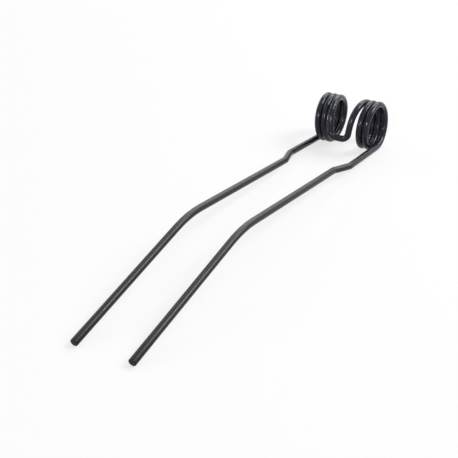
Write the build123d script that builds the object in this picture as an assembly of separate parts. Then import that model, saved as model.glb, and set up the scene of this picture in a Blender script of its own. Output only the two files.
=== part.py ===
from build123d import *
from math import asin, atan2, cos, degrees, hypot, radians, sin, tan
import os

# Double spring tine of a rotary hay rake, bent from one length of round spring steel wire.
# Two coils wound to opposite hands stand side by side on one axis. A bolt-on loop joins their tops,
# and a long finger leaves the underside of each. The tine is symmetric about the plane X = 0.
# +X runs along the coil axis and the fingers point along -Y. +Z is up while the tine lies on its
# two coils and two finger tips. The origin is on the coil axis, midway between the coils.
# All lengths are in millimetres and all angles in degrees.

# Wire
wire_dia = 8.0
tip_chamfer = 0.6

# Coils
coil_inner_dia = 45.5
turn_gap = 0.3
full_turns = 2            # whole turns that follow the coil's first pass of its underside
coil_spacing = 35.7       # between the wire centres where the two coils begin
coil_start_angle = 11.0   # behind the coil's top, where the loop's arm goes over into the coil

# Bolt-on loop, with angles taken while the first runs of the fingers are level
arm_lead = 3.0            # straight wire between the coil and the arm's knee
knee_radius = 28.2        # all bend radii are to the wire's centre line
arm_lean = 4.5            # of the arm below its knee, forward of straight down
arm_straight = 7.5
slot_width = 14.0         # clear width between the arms at the loop's foot
loop_corner_radius = 7.9

# Fingers, with run lengths taken from corner to corner of the unrounded line
relax_run = 4.0           # from the coil to the bend that takes out the winding angle
relax_radius = 60.0
first_run = 86.9
first_run_splay = 0.8     # outward from the coil
kink_run = 28.5           # along the finger, over the sideways jog that follows the coil
kink_rise = 0.9
kink_radius = 14.0
finger_spacing = 62.6     # between the fingers' centre lines past the jog
middle_run = 221.0
middle_rise = 0.9         # above the first run
bend_angle = 18.25
bend_radius = 144.0
last_run = 200.4

wire_radius = wire_dia / 2
coil_radius = (coil_inner_dia + wire_dia) / 2
pitch = wire_dia + turn_gap


def drawn_wire(path):
    # Round wire along a path, square to it at both ends
    section = Plane(origin=path @ 0, z_dir=path % 0) * Circle(wire_radius)
    return sweep(section, path=path, is_frenet=True)


def coil_line():
    # Left-hand helix from the arm, over the back, and on to the underside where the finger leaves
    start = radians(90 - coil_start_angle)
    turns = full_turns + (180 - coil_start_angle) / 360
    place = Plane(origin=(coil_spacing / 2, 0, 0), x_dir=(0, cos(start), sin(start)), z_dir=(1, 0, 0))
    return place * Helix(pitch, pitch * turns, coil_radius, lefthand=True)


def loop_line(coil):
    # From one coil over the knee, down and across the foot, and back up to the other coil
    lean = radians(arm_lean)
    knee_angle = radians(90 + coil_start_angle) - lean
    knee_reach = knee_radius * tan(knee_angle / 2)
    knee = coil @ 0 - (coil % 0) * (arm_lead + knee_reach)
    drop = knee_reach + arm_straight + loop_corner_radius
    foot = Vector(slot_width / 2 + wire_radius, knee.Y - drop * sin(lean), knee.Z - drop * cos(lean))
    half = [coil @ 0, knee, foot]
    points = half + [Vector(-p.X, p.Y, p.Z) for p in reversed(half)]
    return FilletPolyline(*points, radius=[knee_radius, loop_corner_radius, loop_corner_radius, knee_radius])


def finger_line(coil):
    # Out of the coil, sideways through the jog, along the middle run and down past the long bend
    splay = radians(first_run_splay)
    rise = radians(middle_rise)
    fall = radians(bend_angle - middle_rise)
    relax = coil @ 1 + (coil % 1) * relax_run
    jog_in = relax + Vector(sin(splay), -cos(splay), 0) * (first_run - relax_run)
    jog_out = Vector(finger_spacing / 2, jog_in.Y - kink_run, jog_in.Z + kink_rise)
    bend = jog_out + Vector(0, -cos(rise), sin(rise)) * middle_run
    tip = bend + Vector(0, -cos(fall), -sin(fall)) * last_run
    radii = [relax_radius, kink_radius, kink_radius, bend_radius]
    return FilletPolyline(coil @ 1, relax, jog_in, jog_out, bend, tip, radius=radii)


def rest_pitch(finger):
    # Angle that brings the coils' undersides and the finger tips down on one level surface
    along = finger % 1
    down = Vector(0, -along.Z, along.Y)
    heel = finger @ 1 - along * tip_chamfer + down * wire_radius
    reach = hypot(heel.Y, heel.Z)
    return degrees(atan2(-heel.Z, -heel.Y) - asin((coil_radius + wire_radius) / reach))


coil_path = coil_line()
finger_path = finger_line(coil_path)
loop = drawn_wire(loop_line(coil_path))
finger = drawn_wire(finger_path)
tip_face = finger.faces().sort_by(Axis.Y)[0]
finger = chamfer(tip_face.edges(), tip_chamfer)
side = drawn_wire(coil_path) + finger
tine = loop + side + mirror(side, about=Plane.YZ)
tine = tine.rotate(Axis.X, -rest_pitch(finger_path))

os.makedirs("parts", exist_ok=True)
export_step(tine, "parts/spring_tine.step")
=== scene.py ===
import math
import bmesh
import bpy
from mathutils import Matrix, Vector


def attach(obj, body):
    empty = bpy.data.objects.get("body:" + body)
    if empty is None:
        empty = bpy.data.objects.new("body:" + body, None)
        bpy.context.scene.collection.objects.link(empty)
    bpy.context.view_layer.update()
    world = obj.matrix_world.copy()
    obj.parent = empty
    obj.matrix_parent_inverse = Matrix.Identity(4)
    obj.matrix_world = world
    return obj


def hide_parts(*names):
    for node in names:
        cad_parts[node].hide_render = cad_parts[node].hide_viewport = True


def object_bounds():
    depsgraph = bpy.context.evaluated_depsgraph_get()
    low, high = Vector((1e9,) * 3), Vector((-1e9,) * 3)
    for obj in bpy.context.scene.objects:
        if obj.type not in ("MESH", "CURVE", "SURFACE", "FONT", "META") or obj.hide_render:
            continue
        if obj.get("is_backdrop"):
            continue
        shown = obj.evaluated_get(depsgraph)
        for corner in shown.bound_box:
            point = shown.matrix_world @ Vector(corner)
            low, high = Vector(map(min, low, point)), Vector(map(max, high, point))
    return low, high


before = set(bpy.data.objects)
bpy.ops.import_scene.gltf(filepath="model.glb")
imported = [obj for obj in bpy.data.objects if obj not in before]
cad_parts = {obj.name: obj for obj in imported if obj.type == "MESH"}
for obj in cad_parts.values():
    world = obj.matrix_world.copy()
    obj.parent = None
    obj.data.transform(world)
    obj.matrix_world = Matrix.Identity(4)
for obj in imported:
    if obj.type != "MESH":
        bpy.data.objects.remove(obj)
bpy.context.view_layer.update()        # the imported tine, fixed: nothing below moves or resizes it
print("frame loaded")

mm = 0.001               # Blender works in metres, the tine's own sizes are in millimetres


# What the pieces below share: new objects, and the shader nodes that they use more than once

def addObject(name, data):
    thing = bpy.data.objects.new(name, data)
    bpy.context.scene.collection.objects.link(thing)
    return thing


def meshObject(name, bm):
    mesh = bpy.data.meshes.new(name)
    bm.to_mesh(mesh)
    bm.free()
    return addObject(name, mesh)


def calculate(tree, operation, *values):
    node = tree.nodes.new("ShaderNodeMath")
    node.operation = operation
    for value, socket in zip(values, node.inputs):
        tree.links.new(value, socket)
    return node.outputs["Value"]


def mapRange(tree, value, fromSpan, toSpan, curve="LINEAR"):
    # the value carried from one span onto another, and held at both ends
    node = tree.nodes.new("ShaderNodeMapRange")
    node.interpolation_type = curve
    node.inputs["From Min"].default_value, node.inputs["From Max"].default_value = fromSpan
    node.inputs["To Min"].default_value, node.inputs["To Max"].default_value = toSpan
    tree.links.new(value, node.inputs["Value"])
    return node.outputs["Result"]


def noise(tree, place, scale, detail):
    node = tree.nodes.new("ShaderNodeTexNoise")
    node.inputs["Scale"].default_value = scale
    node.inputs["Detail"].default_value = detail
    tree.links.new(place, node.inputs["Vector"])
    return node.outputs["Fac"]


def mixNode(tree, kind, share):
    # A where the share is 0 and B where it is 1
    node = tree.nodes.new("ShaderNodeMix")
    node.data_type = kind
    tree.links.new(share, node.inputs["Factor"])
    return node


def bumpNode(tree, pattern, height):
    node = tree.nodes.new("ShaderNodeBump")
    node.inputs["Distance"].default_value = height * mm
    tree.links.new(pattern, node.inputs["Height"])
    return node


# The wire, bent from the middle of the loop's foot out to one finger tip and then mirrored

tineWire = {               # mm and degrees, with the CAD part's driving sizes
    "diameter": 8.0, "sides": 48, "tipRound": 0.6, "tipSteps": 4,
    "straightStep": 8.0, "bendStep": 5.0, "mergeWithin": 0.001,           # steps are from ring to ring
    "coilInside": 45.5, "turnGap": 0.3, "fullTurns": 2,
    "coilSpacing": 35.7, "coilStart": 11.0,            # between the coils' starts, and how far behind the top
    "armLead": 3.0, "kneeRadius": 28.2, "armLean": 4.5, "armStraight": 7.5,      # from the coil down
    "slotWidth": 14.0, "loopCorner": 7.9,              # clear width and bend at the loop's foot
    "relaxRun": 4.0, "relaxRadius": 60.0,              # to the bend that takes out the winding angle
    "firstRun": 86.9, "firstSplay": 0.8,
    "jogRun": 28.5, "jogRise": 0.9, "jogRadius": 14.0, "fingerSpacing": 62.6,
    "middleRun": 221.0, "middleRise": 0.9, "bendAngle": 18.25, "bendRadius": 144.0, "lastRun": 200.4,
}


def coilPlan(w):
    # size of the coil, where it starts and ends, and the way the wire runs there
    radius = (w["coilInside"] + w["diameter"]) / 2
    pitch = w["diameter"] + w["turnGap"]
    climb = pitch / (2 * math.pi * radius)
    start = math.radians(90 - w["coilStart"])
    angle = 2 * math.pi * w["fullTurns"] + math.pi - math.radians(w["coilStart"])
    top = Vector((w["coilSpacing"] / 2, radius * math.cos(start), radius * math.sin(start)))
    return {
        "radius": radius, "pitch": pitch, "angle": angle,
        "top": top, "overBack": Vector((climb, math.sin(start), -math.cos(start))).normalized(),
        "under": Vector((top.x + pitch * angle / (2 * math.pi), 0, -radius)),
        "leaving": Vector((climb, -1, 0)).normalized(),
    }


def armCorners(w, coil):
    # corners of the loop's arm, from its foot up to the coil
    lean = math.radians(w["armLean"])
    kneeReach = w["kneeRadius"] * math.tan((math.radians(90 + w["coilStart"]) - lean) / 2)
    knee = coil["top"] - coil["overBack"] * (w["armLead"] + kneeReach)
    drop = kneeReach + w["armStraight"] + w["loopCorner"]
    foot = Vector(((w["slotWidth"] + w["diameter"]) / 2,
                   knee.y - drop * math.sin(lean), knee.z - drop * math.cos(lean)))
    return [foot, knee, coil["top"]]


def fingerCorners(w, coil):
    # corners of the finger, from just past the coil to the tip
    splay = math.radians(w["firstSplay"])
    rise = math.radians(w["middleRise"])
    fall = math.radians(w["bendAngle"] - w["middleRise"])
    relax = coil["under"] + coil["leaving"] * w["relaxRun"]
    jogIn = relax + Vector((math.sin(splay), -math.cos(splay), 0)) * (w["firstRun"] - w["relaxRun"])
    jogOut = Vector((w["fingerSpacing"] / 2, jogIn.y - w["jogRun"], jogIn.z + w["jogRise"]))
    longBend = jogOut + Vector((0, -math.cos(rise), math.sin(rise))) * w["middleRun"]
    tip = longBend + Vector((0, -math.cos(fall), -math.sin(fall))) * w["lastRun"]
    return [relax, jogIn, jogOut, longBend, tip]


def restPitch(w, coil, finger):
    # the turn that brings the heel of each tip down level with the coils
    longBend, tip = finger[-2:]
    heading = (tip - longBend).normalized()
    down = Vector((0, -heading.z, heading.y))
    heel = tip - heading * w["tipRound"] + down * (w["diameter"] / 2)
    reach = math.hypot(heel.y, heel.z)
    return math.atan2(-heel.z, -heel.y) - math.asin((coil["radius"] + w["diameter"] / 2) / reach)


def startWire(w, foot):
    # a round section at the middle of the loop's foot, facing along it
    bm = bmesh.new()
    straight = bm.verts.layers.float_vector.new("straightWire")
    bmesh.ops.create_circle(bm, segments=w["sides"], radius=w["diameter"] / 2)
    for v in bm.verts:
        v[straight] = Vector((0, v.co.x, v.co.y))
    middle = Vector((0, foot.y, foot.z))
    facing = Matrix.Translation(middle) @ Matrix.Rotation(math.pi / 2, 4, "Y")
    bmesh.ops.transform(bm, matrix=facing, verts=bm.verts)

    # with the last ring of edges, that ring's centre and the length of wire up to it
    return {"bm": bm, "straight": straight, "ring": list(bm.edges), "at": middle, "fed": 0.0}


def addRing(wire, motion, fed):
    # one more ring of the wire's skin, carried on by a rigid motion
    grown = bmesh.ops.extrude_edge_only(wire["bm"], edges=wire["ring"])["geom"]
    verts = [g for g in grown if isinstance(g, bmesh.types.BMVert)]
    fresh = set(verts)
    wire["ring"] = [g for g in grown if isinstance(g, bmesh.types.BMEdge) and fresh.issuperset(g.verts)]
    bmesh.ops.transform(wire["bm"], matrix=motion, verts=verts)
    wire["fed"] += fed
    for v in verts:
        v[wire["straight"]].x = wire["fed"]
    wire["at"] = motion @ wire["at"]


def feed(wire, towards, length):
    # a straight run
    steps = max(1, round(length / tineWire["straightStep"]))
    for _ in range(steps):
        addRing(wire, Matrix.Translation(towards * (length / steps)), length / steps)


def turnWire(wire, centre, axis, angle, pitch=0.0):
    # a round bend, or a coil where each turn also moves on along the axis
    steps = max(2, math.ceil(abs(math.degrees(angle)) / tineWire["bendStep"]))
    step = angle / steps
    advance = axis.normalized() * (pitch * abs(step) / (2 * math.pi))
    motion = (Matrix.Translation(centre + advance) @ Matrix.Rotation(step, 4, axis)
              @ Matrix.Translation(-centre))
    radius = (wire["at"] - centre).cross(axis.normalized()).length
    for _ in range(steps):
        addRing(wire, motion, math.hypot(radius * step, advance.length))


def followLine(wire, corners, radii):
    # straight runs from corner to corner, with a bend of its own radius at each
    for corner, after, radius in zip(corners, corners[1:], radii):
        heading = (corner - wire["at"]).normalized()
        axis = heading.cross(after - corner).normalized()
        turn = heading.angle(after - corner)
        run = (corner - wire["at"]).length - radius * math.tan(turn / 2)
        feed(wire, heading, run)
        turnWire(wire, wire["at"] + axis.cross(heading) * radius, axis, turn)
    last = corners[-1] - wire["at"]
    feed(wire, last.normalized(), last.length)


def roundTip(wire, w):
    # square-cut tip with its rim rounded
    cut = bmesh.ops.contextual_create(wire["bm"], geom=wire["ring"])["faces"]
    bmesh.ops.bevel(wire["bm"], geom=list(cut[0].edges), offset=w["tipRound"], offset_type="OFFSET",
                    affect="EDGES", segments=w["tipSteps"], profile=0.5, material=-1)


def mirrorWire(wire, w):
    # the other half, with its lengths along the wire counted the other way
    bm, straight = wire["bm"], wire["straight"]
    bmesh.ops.mirror(bm, geom=bm.verts[:] + bm.edges[:] + bm.faces[:], axis="X", merge_dist=w["mergeWithin"])
    for v in bm.verts:
        v[straight].x = math.copysign(v[straight].x, v.co.x)
    bmesh.ops.remove_doubles(bm, verts=bm.verts, dist=w["mergeWithin"])
    bmesh.ops.recalc_face_normals(bm, faces=bm.faces)


def bendTine(w):
    coil = coilPlan(w)
    arm = armCorners(w, coil)
    finger = fingerCorners(w, coil)

    # from the foot up the arm, outwards through the coil, which turns over the back, and along the finger
    wire = startWire(w, arm[0])
    followLine(wire, arm, [w["loopCorner"], w["kneeRadius"]])
    turnWire(wire, Vector((wire["at"].x, 0, 0)), Vector((-1, 0, 0)), coil["angle"], -coil["pitch"])
    followLine(wire, finger, [w["relaxRadius"], w["jogRadius"], w["jogRadius"], w["bendRadius"]])
    roundTip(wire, w)
    mirrorWire(wire, w)

    # down on its coils and tips, and into metres
    bm = wire["bm"]
    lower = Matrix.Rotation(-restPitch(w, coil, finger), 3, "X")
    bmesh.ops.rotate(bm, cent=(0, 0, 0), matrix=lower, verts=bm.verts)
    bmesh.ops.scale(bm, vec=(mm, mm, mm), verts=bm.verts)
    tine = meshObject("tineWire", bm)
    tine.data.shade_smooth()
    return tine


tine = bendTine(tineWire)
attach(tine, "root")
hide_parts("spring_tine")
print("wire bent:", len(tine.data.polygons), "faces")


# Satin black paint, thicker on the loop and coils, where its lighter, bluer tone is painted light

wirePaint = {              # linear colours, lengths in mm
    # the thick colour is the paint's black with painted light on the loop and coils: lighter and bluer than
    # the thin
    "thickWithPaintedLight": (0.0108, 0.0112, 0.018, 1), "thin": (0.0105, 0.0107, 0.0118, 1),
    # tip: darker toward the finger's tip, over the last span below, where the paint also grows duller
    "tip": (0.004, 0.0041, 0.005, 1),
    # over the first span the thick paint and its painted light give way to the thin paint
    "thickAndPaintedLightUpTo": 500, "thinWithoutPaintedLightFrom": 640, "dullAndDarkFrom": 980, "dullAndDarkAt": 1015,     # along the wire, from its middle
    "gloss": 0.225, "glossTint": (0.95, 0.965, 1, 1),
    "roughThick": (0.11, 0.24), "roughThin": (0.27, 0.34), "roughTip": (0.40, 0.52),
    "patchSpan": (0.3, 0.7),                           # of the noise, from glossy to dull patches
    "orangePeel": {"size": 4.5, "height": 0.55, "detail": 2, "onThin": 0.22},      # onThin is a share
    "drawnLines": {"size": 0.5, "height": 0.012, "detail": 1, "length": 25.0},
}


def paintColour(tree, shader, p, thinningAndPaintedLightFade, dullingAndDarkening):
    # from the coils' lighter, bluer tone, which is painted light, to the thin paint of the fingers, and
    # darker toward the finger's tip
    # painted light: the lighter, bluer tone on the loop and coils, fading out along the fingers
    toneWithPaintedLight = mixNode(tree, "RGBA", thinningAndPaintedLightFade)
    toneWithPaintedLight.inputs["A"].default_value = p["thickWithPaintedLight"]
    toneWithPaintedLight.inputs["B"].default_value = p["thin"]
    # darker toward the finger's tip
    tipTone = mixNode(tree, "RGBA", dullingAndDarkening)
    tipTone.inputs["B"].default_value = p["tip"]
    tree.links.new(toneWithPaintedLight.outputs["Result"], tipTone.inputs["A"])
    tree.links.new(tipTone.outputs["Result"], shader.inputs["Base Color"])


def paintGloss(tree, shader, p, thinningAndPaintedLightFade, dullingAndDarkening, peel):
    # in patches, duller where the paint is thin and dullest at the finger's tip
    rough = mapRange(tree, peel, p["patchSpan"], p["roughThick"])
    for share, duller in ((thinningAndPaintedLightFade, p["roughThin"]), (dullingAndDarkening, p["roughTip"])):
        blend = mixNode(tree, "FLOAT", share)
        tree.links.new(rough, blend.inputs["A"])
        tree.links.new(mapRange(tree, peel, p["patchSpan"], duller), blend.inputs["B"])
        rough = blend.outputs["Result"]
    tree.links.new(rough, shader.inputs["Roughness"])


def paintRelief(tree, shader, p, place, thinningAndPaintedLightFade, peel):
    # the wire's drawing lines, and over them the orange peel, which is fainter in thin paint
    drawn = p["drawnLines"]
    stretch = tree.nodes.new("ShaderNodeMapping")
    stretch.inputs["Scale"].default_value = (1 / drawn["length"], 1 / drawn["size"], 1 / drawn["size"])
    tree.links.new(place, stretch.inputs["Vector"])
    lines = bumpNode(tree, noise(tree, stretch.outputs["Vector"], 1, drawn["detail"]), drawn["height"])
    over = bumpNode(tree, peel, p["orangePeel"]["height"])
    fainter = mapRange(tree, thinningAndPaintedLightFade, (0, 1), (1, p["orangePeel"]["onThin"]))
    tree.links.new(lines.outputs["Normal"], over.inputs["Normal"])
    tree.links.new(fainter, over.inputs["Strength"])
    tree.links.new(over.outputs["Normal"], shader.inputs["Normal"])


def paintMaterial(p):
    material = bpy.data.materials.new("satinBlackPaint")
    material.use_nodes = True
    tree = material.node_tree
    shader = tree.nodes["Principled BSDF"]
    shader.inputs["Specular IOR Level"].default_value = p["gloss"]
    shader.inputs["Specular Tint"].default_value = p["glossTint"]

    # the place on the wire as if it were straight; there the paint's thinning, which also fades out the
    # coils' painted light, and its dulling and darkening toward the tip
    wirePlace = tree.nodes.new("ShaderNodeAttribute")
    wirePlace.attribute_name = "straightWire"
    place = wirePlace.outputs["Vector"]
    parts = tree.nodes.new("ShaderNodeSeparateXYZ")
    tree.links.new(place, parts.inputs["Vector"])
    along = calculate(tree, "ABSOLUTE", parts.outputs["X"])
    thinningAndPaintedLightFade = mapRange(tree, along, (p["thickAndPaintedLightUpTo"], p["thinWithoutPaintedLightFrom"]), (0, 1), "SMOOTHSTEP")
    dullingAndDarkening = mapRange(tree, along, (p["dullAndDarkFrom"], p["dullAndDarkAt"]), (0, 1))
    peel = noise(tree, place, 1 / p["orangePeel"]["size"], p["orangePeel"]["detail"])

    paintColour(tree, shader, p, thinningAndPaintedLightFade, dullingAndDarkening)
    paintGloss(tree, shader, p, thinningAndPaintedLightFade, dullingAndDarkening, peel)
    paintRelief(tree, shader, p, place, thinningAndPaintedLightFade, peel)
    return material


tine.data.materials.append(paintMaterial(wirePaint))
print("paint on")


# Camera, at the photograph's place

camera = {                 # metres and degrees, with the sensor and focal length in mm
    "at": (0.4680, -1.1240, 0.4949), "forward": (-0.43866, 0.76432, -0.47264), "roll": -0.482,
    "sensor": 36.0, "focal": 80.99,
}


def placeCamera(c):
    data = bpy.data.cameras.new("camera")
    data.sensor_width = c["sensor"]
    data.lens = c["focal"]
    cam = addObject("camera", data)
    cam.location = c["at"]
    aim = Vector(c["forward"]).to_track_quat("-Z", "Y").to_matrix()
    cam.rotation_euler = (aim @ Matrix.Rotation(math.radians(c["roll"]), 3, "Z")).to_euler()
    bpy.context.scene.camera = cam


placeCamera(camera)
print("camera placed")


# Studio: pale floor, white surround and soft lamps

studio = {                 # metres
    "floorSize": 24.0, "floorTone": 0.69,
    "floorGlow": (0.70, 1.0), "glowRises": (0.9, 2.5),    # share near and far off, and how far from the tine
    "ambient": 0.1, "lampDistance": 4.0, "aimAt": (0, -0.25, 0),
}
lamps = {                  # azimuth and elevation in degrees, size in metres, light on the tine in W/m2
    "keyLamp": {"from": (116, 48), "size": (1.2, 1.2), "light": 1.35},
    "sideSoftbox": {"from": (131, 37), "size": (2.0, 1.6), "light": 1.6},
    "backSoftbox": {"from": (186, 42), "size": (3.8, 2.8), "light": 2.2},
    "frontLamp": {"from": (18, 25), "size": (1.1, 1.1), "light": 1.6},
    "leftFill": {"from": (-105, 27), "size": (1.8, 1.4), "light": 0.5},
    "frontFill": {"from": (-45, 18), "size": (1.4, 1.2), "light": 0.45},
}


def seenDirectly(tree):
    # 1 for rays from the camera and for those that a glossy or clear surface sends on, else 0
    path = tree.nodes.new("ShaderNodeLightPath")
    seen = path.outputs["Is Camera Ray"]
    for ray in ("Is Glossy Ray", "Is Transmission Ray"):
        seen = calculate(tree, "MAXIMUM", seen, path.outputs[ray])
    return seen


def floorMaterial(s):
    # matt, with a glow that lifts it to white and near the tine leaves room for the shadow
    material = bpy.data.materials.new("paleFloor")
    material.use_nodes = True
    tree = material.node_tree
    tree.nodes.clear()
    matt = tree.nodes.new("ShaderNodeBsdfDiffuse")
    matt.inputs["Color"].default_value = (s["floorTone"],) * 3 + (1,)
    glow = tree.nodes.new("ShaderNodeEmission")
    place = tree.nodes.new("ShaderNodeTexCoord")
    away = tree.nodes.new("ShaderNodeVectorMath")
    away.operation = "LENGTH"
    tree.links.new(place.outputs["Object"], away.inputs[0])
    share = mapRange(tree, away.outputs["Value"], s["glowRises"], s["floorGlow"], "SMOOTHSTEP")
    mix = tree.nodes.new("ShaderNodeMixShader")
    out = tree.nodes.new("ShaderNodeOutputMaterial")
    tree.links.new(calculate(tree, "MULTIPLY", seenDirectly(tree), share), mix.inputs["Fac"])
    tree.links.new(matt.outputs["BSDF"], mix.inputs[1])
    tree.links.new(glow.outputs["Emission"], mix.inputs[2])
    tree.links.new(mix.outputs["Shader"], out.inputs["Surface"])
    return material


def layFloor(s):
    bm = bmesh.new()
    bmesh.ops.create_grid(bm, x_segments=1, y_segments=1, size=s["floorSize"] / 2)
    bmesh.ops.translate(bm, vec=(0, 0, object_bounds()[0].z), verts=bm.verts)
    floor = meshObject("floor", bm)
    floor.data.materials.append(floorMaterial(s))
    floor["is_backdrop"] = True


def surround(s):
    world = bpy.data.worlds.new("whiteSurround")
    bpy.context.scene.world = world
    world.use_nodes = True
    tree = world.node_tree
    background = tree.nodes["Background"]
    background.inputs["Color"].default_value = (1, 1, 1, 1)
    strength = mapRange(tree, seenDirectly(tree), (0, 1), (s["ambient"], 1))
    tree.links.new(strength, background.inputs["Strength"])


def hangLamp(name, lamp, s):
    data = bpy.data.lights.new(name, "AREA")
    data.shape = "RECTANGLE"
    data.size, data.size_y = lamp["size"]
    data.energy = lamp["light"] * math.pi * s["lampDistance"] ** 2      # for that light at the tine
    azimuth, elevation = (math.radians(a) for a in lamp["from"])
    away = Vector((math.sin(azimuth) * math.cos(elevation), -math.cos(azimuth) * math.cos(elevation),
                   math.sin(elevation)))
    light = addObject(name, data)
    light.location = Vector(s["aimAt"]) + away * s["lampDistance"]
    light.rotation_euler = away.to_track_quat("Z", "Y").to_euler()


layFloor(studio)
surround(studio)
for name, lamp in lamps.items():
    hangLamp(name, lamp, studio)
bpy.context.scene.view_settings.view_transform = "Standard"
print("studio lit")
